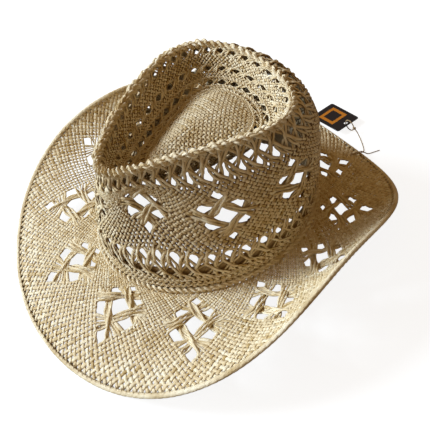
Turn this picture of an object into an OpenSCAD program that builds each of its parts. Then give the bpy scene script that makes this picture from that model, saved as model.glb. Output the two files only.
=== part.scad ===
/* [Head opening] */
// Width of the crown at its foot, ear to ear
foot_w = 164; // [135:1:200]
// Length of the crown at its foot, front to back
foot_l = 196; // [162:1:238]

/* [Crown] */
// Height of the crown's rim above its foot
crown_h = 119; // [95:1:145]
// Width of the crown's rim at its widest
rim_w = 123; // [100:1:145]
// How far the rim reaches in front of the head's middle
rim_front = 88; // [75:1:92]
// How far the rim reaches behind the head's middle
rim_back = 70; // [56:1:80]
// Depth of the two finger pinches at the front of the wall
pinch = 12; // [0:1:16]
// How far the groove around the dome lies below the rim
groove_d = 35; // [24:1:50]
// How far the dome's top lies below the rim
dome_d = 16; // [8:1:30]
// Width of the groove's middle line at its widest
groove_w = 76; // [62:1:88]

/* [Brim] */
// Width of the brim's flat pattern, ear to ear
brim_w = 339; // [282:1:407]
// Length of the brim's flat pattern, front to back
brim_l = 344; // [286:1:413]
// How far the pattern sits forward of the head's middle
brim_shift = 13; // [0:1:20]
// Mean turn-up of the two sides, in degrees
side_curl = 52; // [20:1:62]
// Share by which the left side turns up more than the right
curl_diff = 0.2; // [0:0.05:0.4]
// Droop of the front, in degrees
front_droop = 46; // [15:1:55]
// Droop of the back, in degrees
back_droop = 30; // [10:1:50]
// How far the turn-up is moved from the front quarters to the back ones
sweep = 27; // [0:1:32]

/* [Weave and edge] */
// Thickness of the woven straw
weave_t = 2.4; // [1.6:0.1:3.2]
// Radius of the twined ridge on the rim
rim_twine_r = 2.2; // [1.5:0.1:3]
// Radius of the thin twined rings on the crown's top
tip_twine_r = 1.2; // [0.8:0.1:2]
// Radius of the two-ply cord around the foot
foot_cord_r = 2.1; // [1.5:0.1:3]
// Outside radius of the hem rolled over the brim's edge
hem_r = 2.4; // [2:0.1:3.5]
// Radius of the shaping wire inside the hem
wire_r = 0.65; // [0.4:0.05:0.9]
// Thickness of one wall of the hem
hem_t = 0.85; // [0.6:0.05:1]
// Length of the crimp that joins the wire's ends
sleeve_l = 14; // [8:1:24]
// Radius of the sewing thread
thread_r = 0.35; // [0.25:0.05:0.5]

/* [Lining] */
// Height of the sweatband
band_h = 25; // [20:1:36]
// Thickness of the sweatband
band_t = 1.2; // [0.8:0.1:2]
// Gap between the sweatband and the weave
band_gap = 0.6; // [0.5:0.1:1.5]
// Angle of the size label's middle, from the front round by the left
label_at = 208; // [195:1:230]
// Width of the size label
label_w = 34; // [20:1:45]

/* [Swing tag] */
// Length of the card
tag_l = 39; // [26:1:45]
// Width of the card
tag_w = 28; // [20:1:28]
// Thickness of the card
tag_t = 0.7; // [0.4:0.1:1]
// Radius of the hole in the card
tag_hole_r = 2; // [1.5:0.1:2.5]
// Radius of the string
string_r = 0.6; // [0.4:0.1:0.8]
// Radius of the string's loop
loop_r = 5.5; // [5:0.5:7]

/* [Hidden] */

straw = [0.80, 0.74, 0.62];
step = 6;                                  // degrees between the rings' points
turn = [for (a = [0:step:359]) a];
rad = PI / 180;
rim_tear = [0.90, -0.52, 0.14];            // the rim's width, as a series in the angle's cosine
rim_rise = 2.5;                            // the rim rises this much to the back
rim_saddle = 11;                           // and dips this much at the front and the back
rim_heel = 9;                              // but fills out again at the back
dome_y = 18;                               // the dome's top is this far behind the head's middle
tip_rings = [0.36, 0.50, 0.62];            // places of the thin rings, 0 at the rim, 1 at the dome
hem_lip = 35;                              // half of the hem's opening, in degrees
stitch_in = 4.5;                           // the hem's seam is this far inside the edge

// ---- surfaces, in the head's frame: foot at z = 0, front at -y, angle a from the front by +x ----
function unit(v) = v / norm(v);
function foot(a) = [foot_w / 2 * sin(a), -foot_l / 2 * cos(a), 0];
function tear(c) = rim_tear[0] + rim_tear[1] * c + rim_tear[2] * c * c;
function behind(a) = pow((1 - cos(a)) / 2, 3);
function off_front(a) = abs(a > 180 ? a - 360 : a);
function outward(a) = unit([foot_l * sin(a), -foot_w * cos(a), 0]);
function rim(a) =
    let (c = cos(a))
    [rim_w / 2 * sin(a) * tear(c),
     -(rim_back + rim_front) / 2 * c + (rim_back - rim_front) / 2,
     crown_h - rim_rise * c - rim_saddle * c * c + rim_heel * pow((1 - c) / 2, 4)];
function curve(p, q, r, s, t) =
    pow(1 - t, 3) * p + 3 * pow(1 - t, 2) * t * q + 3 * (1 - t) * t * t * r + pow(t, 3) * s;

// the wall rises straight from the foot, bulges, pulls in at the pinches and rounds over behind
function wall_point(a, t) =
    let (w = behind(a), o = outward(a), f = foot(a), c = rim(a),
         dent = pinch * exp(-pow((off_front(a) - 42) / 20, 2)))
    curve(f, f + [0, 0, 0.38 * crown_h] + 3 * (1 + w) * o,
          c + ((1 - w) * 6 + w * 31 - dent) * o - [0, 0, (1 - w) * 30 + w * 2], c, t);
function groove(a) =
    let (c = cos(a))
    [groove_w / 2 * sin(a) * tear(c), -(groove_w - 20) * c - 6,
     crown_h - groove_d + 13 * pow((1 - c) / 2, 2)];
function dome_top() = [0, dome_y, crown_h - dome_d];
// the top dips from the rim into the groove, then climbs the dome
function tip_point(a, t) =
    let (w = behind(a), c = rim(a), v = groove(a), d = dome_top(),
         g = [v[0] - c[0], v[1] - c[1], 0], e = [d[0] - v[0], d[1] - v[1], 0])
    t < 0.5
    ? curve(c, c + ((1 - w) * 0.25 + w * 0.45) * g - [0, 0, (1 - w) * 8 + w], v - 0.45 * g, v, 2 * t)
    : curve(v, v + 0.25 * e, d - 0.6 * e, d, 2 * t - 1);
// the brim is a flat oval whose every radius is bent to an arc of the same length
function brim_edge(a) = [brim_w / 2 * sin(a), -brim_l / 2 * cos(a) - brim_shift, 0];
function reach(a) = norm(brim_edge(a) - foot(a));
function bend(a) =
    rad * (side_curl * pow(sin(a), 2) * (1 + curl_diff * sign(sin(a)))
           - front_droop * pow(max(cos(a), 0), 2) - back_droop * pow(max(-cos(a), 0), 2)
           - sweep * sin(2 * a) * sin(a));
function brim_point(a, s) =
    let (w = reach(a), b = bend(a), u = (brim_edge(a) - foot(a)) / w)
    foot(a) + u * w * s * (1 - pow(b * s, 2) / 6)
    + [0, 0, w * s * (b * s) / 2 * (1 - pow(b * s, 2) / 12)];

// normals point out of the crown and up from the brim
function wall_normal(a, t) =
    unit(cross(wall_point(a + 1, t) - wall_point(a - 1, t),
               wall_point(a, t + 0.01) - wall_point(a, t - 0.01)));
function tip_normal(a, t) =
    t > 0.97 ? [0, 0, 1] : unit(cross(tip_point(a + 1, t) - tip_point(a - 1, t),
                                      tip_point(a, t + 0.01) - tip_point(a, max(t - 0.01, 0))));
function brim_normal(a, s) =
    unit(cross(brim_point(a, s + 0.01) - brim_point(a, s - 0.01),
               brim_point(a + 1, s) - brim_point(a - 1, s)));

// ---- the hat stands on the front and the back of its brim, over the origin ----
low_front = brim_point(0, 1);
low_back = brim_point(180, 1);
pitch = atan((low_back[2] - low_front[2]) / (low_back[1] - low_front[1]));
function pitched(p) =
    [p[0], p[1] * cos(pitch) + p[2] * sin(pitch), p[2] * cos(pitch) - p[1] * sin(pitch)];
stand_ring = [for (a = turn) pitched(brim_point(a, 1))];
ring_x = [for (p = stand_ring) p[0]];
ring_y = [for (p = stand_ring) p[1]];
ring_z = [for (p = stand_ring) p[2]];
stand_at = [-(min(ring_x) + max(ring_x)) / 2, -(min(ring_y) + max(ring_y)) / 2,
            hem_r - min(ring_z)];
module set_down() {
    translate(stand_at)
        rotate([-pitch, 0, 0])
            children();
}

// ---- solids from rings of points ----
// rings closed in both directions, as a tyre's are
module closed_rings(rings) {
    m = len(rings);
    n = len(rings[0]);
    polyhedron(
        points = [for (r = rings) each r],
        faces = [for (k = [0:m - 1], j = [0:n - 1])
                 let (i = (k + 1) % m, h = (j + 1) % n)
                 each [[k * n + j, k * n + h, i * n + h], [k * n + j, i * n + h, i * n + j]]],
        convexity = 8);
}
// sections in a row, with a flat cap at each end
module capped_row(sections) {
    m = len(sections);
    n = len(sections[0]);
    polyhedron(
        points = [for (r = sections) each r],
        faces = [for (k = [0:m - 2], j = [0:n - 1])
                 let (h = (j + 1) % n)
                 each [[k * n + j, (k + 1) * n + h, k * n + h],
                       [k * n + j, (k + 1) * n + j, (k + 1) * n + h]],
                 [for (j = [0:n - 1]) j],
                 [for (j = [n - 1:-1:0]) (m - 1) * n + j]],
        convexity = 4);
}
// a round cord laid on a closed line: side and up are two unit vectors across it
function round_section(p, side, up, r, sides) =
    [for (k = [0:sides - 1]) p + r * (cos(360 * k / sides) * side + sin(360 * k / sides) * up)];

// ---- woven panels ----
// the wall shares its foot's line with the brim and its rim with the crown's top
module crown_wall() {
    rows = [0, 0.07, 0.14, 0.21, 0.28, 0.45, 0.62, 0.8, 1];
    half = weave_t / 2;
    color(straw)
        set_down()
            closed_rings(concat(
                [for (t = rows) [for (a = turn) wall_point(a, t) - half * wall_normal(a, t)]],
                [for (k = [len(rows) - 1:-1:0]) [for (a = turn)
                    wall_point(a, rows[k]) + half * wall_normal(a, rows[k])]]));
}

module crown_tip() {
    rows = [0, 0.1, 0.2, 0.32, 0.42, 0.5, 0.6, 0.72, 0.86];
    half = weave_t / 2;
    n = len(turn);
    last = len(rows) - 1;
    upper = [for (k = [0:last]) [for (a = turn) skin(a, rows[k], half)]];
    lower = [for (k = [0:last]) [for (a = turn) skin(a, rows[k], -half)]];
    top = dome_top() + [0, 0, half];
    under = dome_top() - [0, 0, half];
    rings = concat([for (k = [last:-1:0]) lower[k]], upper);
    m = len(rings);
    color(straw)
        set_down()
            polyhedron(
                points = concat([for (r = rings) each r], [under, top]),
                faces = [for (k = [0:m - 2], j = [0:n - 1])
                         let (h = (j + 1) % n)
                         each [[k * n + j, (k + 1) * n + h, k * n + h],
                               [k * n + j, (k + 1) * n + j, (k + 1) * n + h]],
                         for (j = [0:n - 1]) let (h = (j + 1) % n) [j, h, m * n],
                         for (j = [0:n - 1]) let (h = (j + 1) % n)
                             [(m - 1) * n + h, (m - 1) * n + j, m * n + 1]],
                convexity = 8);
}
function skin(a, t, off) = tip_point(a, t) + off * tip_normal(a, t);

module brim() {
    rows = [for (k = [0:7]) k / 7];
    half = weave_t / 2;
    inset = hem_r - hem_t / 2;
    color(straw)
        set_down()
            closed_rings(concat(
                [for (k = [7:-1:0]) [for (a = turn) let (s = rows[k] * (1 - inset / reach(a)))
                    brim_point(a, s) - half * brim_normal(a, s)]],
                [for (k = [0:7]) [for (a = turn) let (s = rows[k] * (1 - inset / reach(a)))
                    brim_point(a, s) + half * brim_normal(a, s)]]));
}

// ---- twined ridges and cords ----
module twine_on_tip(t, r, lift) {
    sides = 6;
    color(straw * 0.95)
        set_down()
            closed_rings([for (k = [0:sides - 1]) [for (a = turn)
                let (up = tip_normal(a, t),
                     along = unit(tip_point(a + 1, t) - tip_point(a - 1, t)))
                round_section(tip_point(a, t) + lift * up, cross(up, along), up, r, sides)[k]]]);
}
module rim_twine() {
    sides = 6;
    color(straw)
        set_down()
            closed_rings([for (k = [0:sides - 1]) [for (a = turn)
                let (along = unit(rim(a + 1) - rim(a - 1)), side = unit(cross([0, 0, 1], along)))
                round_section(rim(a) + [0, 0, 0.4], side, cross(along, side), rim_twine_r, sides)[k]]]);
}
module tip_twine_outer() { twine_on_tip(tip_rings[0], tip_twine_r, weave_t / 2); }
module tip_twine_middle() { twine_on_tip(tip_rings[1], tip_twine_r, weave_t / 2); }
module tip_twine_inner() { twine_on_tip(tip_rings[2], tip_twine_r, weave_t / 2); }

// the foot's cord lies in the corner between the wall and the brim
module foot_cord() {
    sides = 6;
    off = weave_t / 2 + foot_cord_r - 0.3;
    color(straw * 0.97)
        set_down()
            closed_rings([for (k = [0:sides - 1]) [for (a = turn)
                let (o = outward(a))
                round_section(foot(a) + off * (o + [0, 0, 1]), o, [0, 0, -1], foot_cord_r, sides)[k]]]);
}

// ---- brim edge ----
function edge_side(a) = unit(brim_point(a, 1) - brim_point(a, 0.99));
// the hem is a strip folded over the wire, with its two lips on the straw
module brim_hem() {
    arc = 8;
    swing = [for (k = [0:arc]) -180 + hem_lip + k * (360 - 2 * hem_lip) / arc];
    inner = hem_r - hem_t;
    loop = concat([for (v = swing) [hem_r, v]], [for (k = [arc:-1:0]) [inner, swing[k]]]);
    color(straw * 0.92)
        set_down()
            closed_rings([for (q = loop) [for (a = turn)
                brim_point(a, 1) + q[0] * (cos(q[1]) * edge_side(a) - sin(q[1]) * brim_normal(a, 1))]]);
}
module brim_wire() {
    sides = 6;
    color("silver")
        set_down()
            closed_rings([for (k = [0:sides - 1]) [for (a = turn)
                round_section(brim_point(a, 1), brim_normal(a, 1), edge_side(a), wire_r, sides)[k]]]);
}
// the crimp sits on the wire at the back, inside the hem, and bends with it
module wire_sleeve() {
    sides = 8;
    outer_r = hem_r - hem_t - 0.15;
    inner_r = wire_r + 0.1;
    share = sleeve_l / 2 / norm(brim_point(180 + step, 1) - brim_point(180, 1));
    loop = [[-1, inner_r], [0, inner_r], [1, inner_r], [1, outer_r], [0, outer_r], [-1, outer_r]];
    color("gray")
        set_down()
            closed_rings([for (q = loop)
                let (a = 180 + q[0] * step,
                     here = round_section(brim_point(180, 1), brim_normal(180, 1), edge_side(180),
                                          q[1], sides),
                     there = round_section(brim_point(a, 1), brim_normal(a, 1), edge_side(a),
                                           q[1], sides))
                here + (there - here) * share * abs(q[0])]);
}
module hem_stitching() {
    sides = 4;
    color([0.55, 0.46, 0.33])
        set_down()
            closed_rings([for (k = [0:sides - 1]) [for (a = turn)
                let (s = 1 - stitch_in / reach(a), up = brim_normal(a, s))
                round_section(brim_point(a, s) + (weave_t / 2 + 0.1) * up,
                              up, edge_side(a), thread_r, sides)[k]]]);
}

// ---- lining ----
// a point inside the wall, at a height above the foot and a depth in from the straw's middle
function lining(a, z, depth) =
    let (t = z / (1.14 * crown_h))
    wall_point(a, t) - depth * wall_normal(a, max(t, 0.02));
band_out = weave_t / 2 + band_gap;
band_in = band_out + band_t;
module lining_patch(from, to, parts, low, high, out, in) {
    capped_row([for (k = [0:parts]) let (a = from + (to - from) * k / parts)
                [lining(a, low, out), lining(a, low, in), lining(a, high, in), lining(a, high, out)]]);
}
module sweatband() {
    last = 4;
    rows = [for (k = [0:last]) 1 + k * (band_h - 1) / last];
    color([0.50, 0.38, 0.24])
        set_down()
            closed_rings(concat([for (z = rows) [for (a = turn) lining(a, z, band_in)]],
                                [for (k = [last:-1:0]) [for (a = turn) lining(a, rows[k], band_out)]]));
}
module sweatband_stitching() {
    sides = 4;
    color([0.72, 0.62, 0.45])
        set_down()
            closed_rings([for (k = [0:sides - 1]) [for (a = turn)
                round_section(lining(a, 5, band_in + 0.1), outward(a), [0, 0, -1], thread_r, sides)[k]]]);
}
module sweatband_tape() {
    half = 5;
    color([0.42, 0.31, 0.19])
        set_down()
            lining_patch(180 - half, 180 + half, 3, 8, band_h - 1, band_in - 0.05, band_in + 0.75);
}
module size_label() {
    half = label_w / (foot_l / 2) / rad / 2;
    color([0.07, 0.10, 0.25])
        set_down()
            lining_patch(label_at - half, label_at + half, 6, 8, band_h - 4, band_in - 0.05,
                         band_in + 0.55);
}

// ---- swing tag, lying behind the hat ----
tag_y = 184.5;                             // the string's loop is this far back
loop_at = [-2, tag_y, loop_r + string_r];
tag_inset = 1.5;                           // the card's edge is this far from the loop's middle
tag_tip = asin((loop_at[2] - tag_t) / (tag_inset + tag_l));
string_route = [[32, 155, 11], [32, 159, 10], [32, 163, 8.2], [32, 166.5, 7], [31.5, 169.5, 4],
                [29.5, 172.8, 1.3], [26, 175.8, 0.8], [21, 179, 0.8], [16.5, 181.5, 0.8],
                [12, 183.6, 1.7], [8, 184.5, 4], [4.5, 184.5, 6]];
tail_route = [[32.8, 155.4, 11.6], [33.7, 159, 10.5], [34, 163, 8.6], [34, 166.8, 7.2],
              [34.4, 169.8, 4.4], [35, 172.6, 1.7], [35.8, 175.6, 0.8], [36.8, 178.6, 0.8],
              [37.9, 181.6, 0.8], [38.8, 184.2, 0.8]];
// a smooth line through a route's points, with one point more in each gap
function bow(p, q, r, s, t) =
    0.5 * (2 * q + (r - p) * t + (2 * p - 5 * q + 4 * r - s) * t * t
           + (3 * q - p - 3 * r + s) * t * t * t);
function smooth(v) =
    let (n = len(v) - 1)
    [for (k = [0:n - 1], t = [0, 0.5])
        bow(v[max(k - 1, 0)], v[k], v[k + 1], v[min(k + 2, n)], t), v[n]];
module string_along(route) {
    line = smooth(route);
    n = len(line) - 1;
    capped_row([for (k = [0:n])
        let (along = unit(line[min(k + 1, n)] - line[max(k - 1, 0)]),
             side = unit(cross([0.2, 0.1, 1], along)))
        round_section(line[k], side, cross(along, side), string_r, 8)]);
}
module tag_string() { color([0.62, 0.52, 0.38]) string_along(string_route); }
module tag_string_tail() { color([0.62, 0.52, 0.38]) string_along(tail_route); }
module tag_loop() {
    color([0.62, 0.52, 0.38])
        translate(loop_at)
            rotate([90, 0, 0])
                rotate_extrude($fn = 48)
                    translate([loop_r, 0])
                        circle(r = string_r, $fn = 24);
}
module tag_knot() {
    color([0.58, 0.48, 0.34])
        translate(loop_at + [loop_r + 0.6, 0, 0])
            sphere(r = 1.5, $fn = 32);
}
module stop_knot() {
    color([0.58, 0.48, 0.34])
        translate(string_route[0])
            sphere(r = 1.5, $fn = 32);
}
// the card hangs from the loop by its hole and rests on its far edge
module hang_tag() {
    color([0.08, 0.08, 0.11])
        translate(loop_at)
            rotate([0, -tag_tip, 0])
                difference() {
                    translate([-tag_inset - tag_l, -tag_w / 2, -tag_t / 2])
                        cube([tag_l, tag_w, tag_t]);
                    translate([-loop_r, 0, -tag_t])
                        cylinder(r = tag_hole_r, h = 2 * tag_t, $fn = 48);
                }
}

crown_wall();
crown_tip();
brim();
rim_twine();
tip_twine_outer();
tip_twine_middle();
tip_twine_inner();
foot_cord();
brim_hem();
brim_wire();
wire_sleeve();
hem_stitching();
sweatband();
sweatband_stitching();
sweatband_tape();
size_label();
tag_string();
tag_string_tail();
tag_loop();
tag_knot();
stop_knot();
hang_tag();
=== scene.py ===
"""A straw western hat: an openwork hood, twined ridges, a rolled brim edge, a sweatband and a swing tag."""

import bpy
import numpy as np
from mathutils import Matrix, Vector


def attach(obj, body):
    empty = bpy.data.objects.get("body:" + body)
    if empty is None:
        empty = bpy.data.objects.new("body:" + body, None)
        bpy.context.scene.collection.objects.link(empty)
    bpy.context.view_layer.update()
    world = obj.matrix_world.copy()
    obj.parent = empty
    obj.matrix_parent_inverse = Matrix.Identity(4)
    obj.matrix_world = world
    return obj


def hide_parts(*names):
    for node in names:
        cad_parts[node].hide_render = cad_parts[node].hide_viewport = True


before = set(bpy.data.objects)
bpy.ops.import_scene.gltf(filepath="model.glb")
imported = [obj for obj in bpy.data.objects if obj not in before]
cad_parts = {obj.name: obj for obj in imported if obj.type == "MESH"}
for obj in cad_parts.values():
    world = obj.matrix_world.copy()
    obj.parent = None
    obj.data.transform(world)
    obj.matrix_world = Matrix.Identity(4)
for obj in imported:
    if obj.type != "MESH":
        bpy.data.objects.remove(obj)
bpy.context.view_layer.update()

# ---- the hat's own sizes, in millimetres and degrees, as its frame has them ----
MM = 0.001
FOOT_W, FOOT_L = 164, 196                    # the crown's foot, ear to ear and front to back
CROWN_H, RIM_W, RIM_FRONT, RIM_BACK = 119, 123, 88, 70
PINCH, GROOVE_D, DOME_D, GROOVE_W = 12, 35, 16, 76
BRIM_W, BRIM_L, BRIM_SHIFT = 339, 344, 13    # the brim's flat pattern
SIDE_CURL, CURL_DIFF, FRONT_DROOP, BACK_DROOP, SWEEP = 52, 0.2, 46, 30, 27
RIM_TEAR = (0.90, -0.52, 0.14)
RIM_RISE, RIM_SADDLE, RIM_HEEL = 2.5, 11, 9
DOME = np.array([0, 18, CROWN_H - DOME_D], float)
TIP_RINGS = (0.36, 0.50, 0.62)
WEAVE_T, HEM_R = 2.4, 2.4
RIM_TWINE_R, TIP_TWINE_R, FOOT_CORD_R = 2.2, 1.2, 2.1
BAND_H, BAND_T, BAND_GAP = 25, 1.2, 0.6
LABEL_AT, LABEL_W = 208, 34
TAG_L, TAG_W, TAG_T, TAG_HOLE_R, TAG_INSET = 39, 28, 0.7, 2, 1.5
STRING_R, LOOP_R, KNOT_R = 0.6, 5.5, 1.5
LOOP_AT = np.array([-2, 184.5, LOOP_R + STRING_R])
STRING_ROUTE = [(32, 155, 11), (32, 159, 10), (32, 163, 8.2), (32, 166.5, 7), (31.5, 169.5, 4),
                (29.5, 172.8, 1.3), (26, 175.8, 0.8), (21, 179, 0.8), (16.5, 181.5, 0.8),
                (12, 183.6, 1.7), (8, 184.5, 4), (4.5, 184.5, 6)]
TAIL_ROUTE = [(32.8, 155.4, 11.6), (33.7, 159, 10.5), (34, 163, 8.6), (34, 166.8, 7.2),
              (34.4, 169.8, 4.4), (35, 172.6, 1.7), (35.8, 175.6, 0.8), (36.8, 178.6, 0.8),
              (37.9, 181.6, 0.8), (38.8, 184.2, 0.8)]
UP = np.array([0, 0, 1.0])
TURN = 2 * np.pi


# ---- the hat's surfaces, in millimetres: angle a from the front by the wearer's left ----
def unit(v):
    """Vectors of length one along those given."""
    return v / np.linalg.norm(v, axis=-1, keepdims=True)


def point(x, y, z):
    """Points from their three coordinates, each an array or one number for all."""
    return np.stack(np.broadcast_arrays(x, y, z), -1).astype(float)


def curve(p, q, r, s, t):
    """A cubic with its two ends p and s and its two handles q and r."""
    t = np.asarray(t)[..., None]
    return (1 - t) ** 3 * p + 3 * (1 - t) ** 2 * t * q + 3 * (1 - t) * t * t * r + t ** 3 * s


def foot(a):
    """The crown's foot: a level oval, written as a sine across and a cosine from front to back."""
    return point(FOOT_W / 2 * np.sin(a), -FOOT_L / 2 * np.cos(a), 0 * a)


def tear(c):
    """The rim's width over an oval's: a series in the angle's cosine, narrow in front, full behind."""
    return RIM_TEAR[0] + RIM_TEAR[1] * c + RIM_TEAR[2] * c * c


def behind(a):
    """0 in front and 1 at the back: the angle's half versine, cubed."""
    return ((1 - np.cos(a)) / 2) ** 3


def outward(a):
    """The level direction out of the crown's foot: the oval's own normal."""
    return unit(point(FOOT_L * np.sin(a), -FOOT_W * np.cos(a), 0 * a))


def rim(a):
    """The crown's rim: an egg with its point in front, saddled from front to back."""
    c = np.cos(a)
    return point(RIM_W / 2 * np.sin(a) * tear(c),
                 -(RIM_BACK + RIM_FRONT) / 2 * c + (RIM_BACK - RIM_FRONT) / 2,
                 CROWN_H - RIM_RISE * c - RIM_SADDLE * c * c + RIM_HEEL * ((1 - c) / 2) ** 4)


def off_front(a):
    """How far an angle is from the front, either way, in degrees."""
    return np.degrees(np.abs(np.arctan2(np.sin(a), np.cos(a))))


def bell(x, middle, spread):
    """1 at the middle, falling off to both sides as a normal curve."""
    return np.exp(-((x - middle) / spread) ** 2)


def wall(a, t):
    """The crown's wall from foot to rim: a cubic that bulges, pinched at both sides of the front.

    Its lower handle goes straight up, and its upper one out and down, further out at the back.
    """
    w = behind(a)[..., None]
    o, f, c = outward(a), foot(a), rim(a)
    dent = (PINCH * bell(off_front(a), 42, 20))[..., None]
    return curve(f, f + 0.38 * CROWN_H * UP + 3 * (1 + w) * o,
                 c + ((1 - w) * 6 + w * 31 - dent) * o - ((1 - w) * 30 + w * 2) * UP, c, t)


def groove(a):
    """The groove's bottom line round the dome: the rim's egg drawn in, higher at the back."""
    c = np.cos(a)
    return point(GROOVE_W / 2 * np.sin(a) * tear(c), -(GROOVE_W - 20) * c - 6,
                 CROWN_H - GROOVE_D + 13 * ((1 - c) / 2) ** 2)


def tip(a, t):
    """The crown's top: one cubic from the rim down to the groove and one from there up the dome."""
    w = behind(a)[..., None]
    c, v = rim(a), groove(a)
    g = (v - c) * (1, 1, 0)
    e = (DOME - v) * (1, 1, 0)
    down = curve(c, c + ((1 - w) * 0.25 + w * 0.45) * g - ((1 - w) * 8 + w) * UP, v - 0.45 * g, v,
                 np.clip(2 * t, -0.2, 1))
    rise = curve(v, v + 0.25 * e, DOME - 0.6 * e, DOME, np.clip(2 * t - 1, 0, 1))
    return np.where((t < 0.5)[..., None], down, rise)


def brim_edge(a):
    """The edge of the brim's flat pattern: a level oval that sits forward of the foot."""
    return point(BRIM_W / 2 * np.sin(a), -BRIM_L / 2 * np.cos(a) - BRIM_SHIFT, 0 * a)


def reach(a):
    """The brim's width at that angle, from the foot straight out to the pattern's edge."""
    return np.linalg.norm(brim_edge(a) - foot(a), axis=-1)


def brim(a, s):
    """The brim: a flat oval whose every radius is bent to an arc of the same length.

    The bend b is a sum of waves: the sides turn up, the front and the back droop. An arc's run and
    lift are written as the first terms of their series.
    """
    c, n = np.cos(a), np.sin(a)
    w = reach(a)
    b = np.radians(SIDE_CURL * n * n * (1 + CURL_DIFF * np.sign(n))
                   - FRONT_DROOP * np.clip(c, 0, 1) ** 2 - BACK_DROOP * np.clip(-c, 0, 1) ** 2
                   - SWEEP * np.sin(2 * a) * n)
    u = (brim_edge(a) - foot(a)) / w[..., None]
    run = w * s * (1 - (b * s) ** 2 / 6)
    lift = w * s * (b * s) / 2 * (1 - (b * s) ** 2 / 12)
    return foot(a) + u * run[..., None] + lift[..., None] * UP


def upward(surface, a, t):
    """The surface's unit normal, out of the crown and up from the brim."""
    e = 0.004
    da = surface(a + e, t) - surface(a - e, t)
    dt = surface(a, t + e) - surface(a, t - e)
    return unit(np.cross(dt, da) if surface is brim else np.cross(da, dt))


FRONT_LOW, BACK_LOW = brim(np.array([0, np.pi]), np.ones(2))
PITCH = np.arctan2(BACK_LOW[2] - FRONT_LOW[2], BACK_LOW[1] - FRONT_LOW[1])


def pitched(p):
    """The hat tipped about the ears, so that its brim's front and back are level."""
    return point(p[..., 0], p[..., 1] * np.cos(PITCH) + p[..., 2] * np.sin(PITCH),
                 p[..., 2] * np.cos(PITCH) - p[..., 1] * np.sin(PITCH))


stand_ring = pitched(brim(np.radians(np.arange(0, 360, 6)), np.ones(60)))
STAND_AT = np.array([-(stand_ring[:, 0].min() + stand_ring[:, 0].max()) / 2,
                     -(stand_ring[:, 1].min() + stand_ring[:, 1].max()) / 2,
                     HEM_R - stand_ring[:, 2].min()])


def set_down(p):
    """The hat's own frame to the shared one, in metres: it stands on the ends of its brim."""
    return (pitched(p) + STAND_AT) * MM


# ---- meshes ----
ROW_APART = 0.02    # each tube's height over the last one's on the map "straw", in metres


def tube_walls(points, closed):
    """The four-cornered faces between each section and the next, with both maps of their corners."""
    tube_n, station_n, corner_n, _ = points.shape
    gap_n = station_n if closed else station_n - 1
    r, s, k = np.meshgrid(np.arange(tube_n), np.arange(gap_n), np.arange(corner_n), indexing="ij")
    middle = points.mean(2)
    steps = np.linalg.norm(np.roll(middle, -1, 1) - middle, axis=-1)
    run = np.concatenate([np.zeros((tube_n, 1)), np.cumsum(steps, 1)], 1)[:, :gap_n + 1]
    girth = girth_of(points)

    def vertex(station, corner):
        return (r * station_n + station % station_n) * corner_n + corner % corner_n

    def straw_map(station, corner):
        return np.stack([run[r, station], r * ROW_APART + girth * corner / corner_n], -1)

    def bake_map(station, corner):
        return np.stack([0.002 + 0.996 * station / gap_n,
                         (r + 0.04 + 0.92 * corner / corner_n) / tube_n], -1)

    around = [(s, k), (s + 1, k), (s + 1, k + 1), (s, k + 1)]
    quads = np.stack([vertex(*at) for at in around], -1).reshape(-1, 4)
    straw_uv = np.stack([straw_map(*at) for at in around], -2).reshape(-1, 4, 2)
    bake_uv = np.stack([bake_map(*at) for at in around], -2).reshape(-1, 4, 2)
    return quads, straw_uv, bake_uv


def tube_caps(points, inside_out):
    """The flat faces that close each tube's two ends, with both maps of their corners."""
    tube_n, station_n, corner_n, _ = points.shape
    first = np.arange(tube_n)[:, None] * station_n * corner_n + np.arange(corner_n)
    last = first + (station_n - 1) * corner_n
    caps = np.concatenate([first, last[:, ::-1]])
    turn = np.arange(corner_n) * TURN / corner_n
    disc = np.tile(np.stack([np.cos(turn), np.sin(turn)], -1), (len(caps), 1))
    return caps[:, ::-1] if inside_out else caps, disc * girth_of(points) / TURN, 0.001 + 0.0005 * disc


def girth_of(points):
    """How far it is round a section, on average."""
    return np.linalg.norm(np.roll(points[:, 0], -1, 1) - points[:, 0], axis=-1).sum(1).mean()


def turned_inside_out(points, quads):
    """Whether the faces look inwards: the volume under them is then below zero."""
    a, b, c, d = (points.reshape(-1, 3)[quads[:, j]] for j in range(4))
    return (np.cross(a, b) * c + np.cross(a, c) * d).sum() < 0


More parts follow.
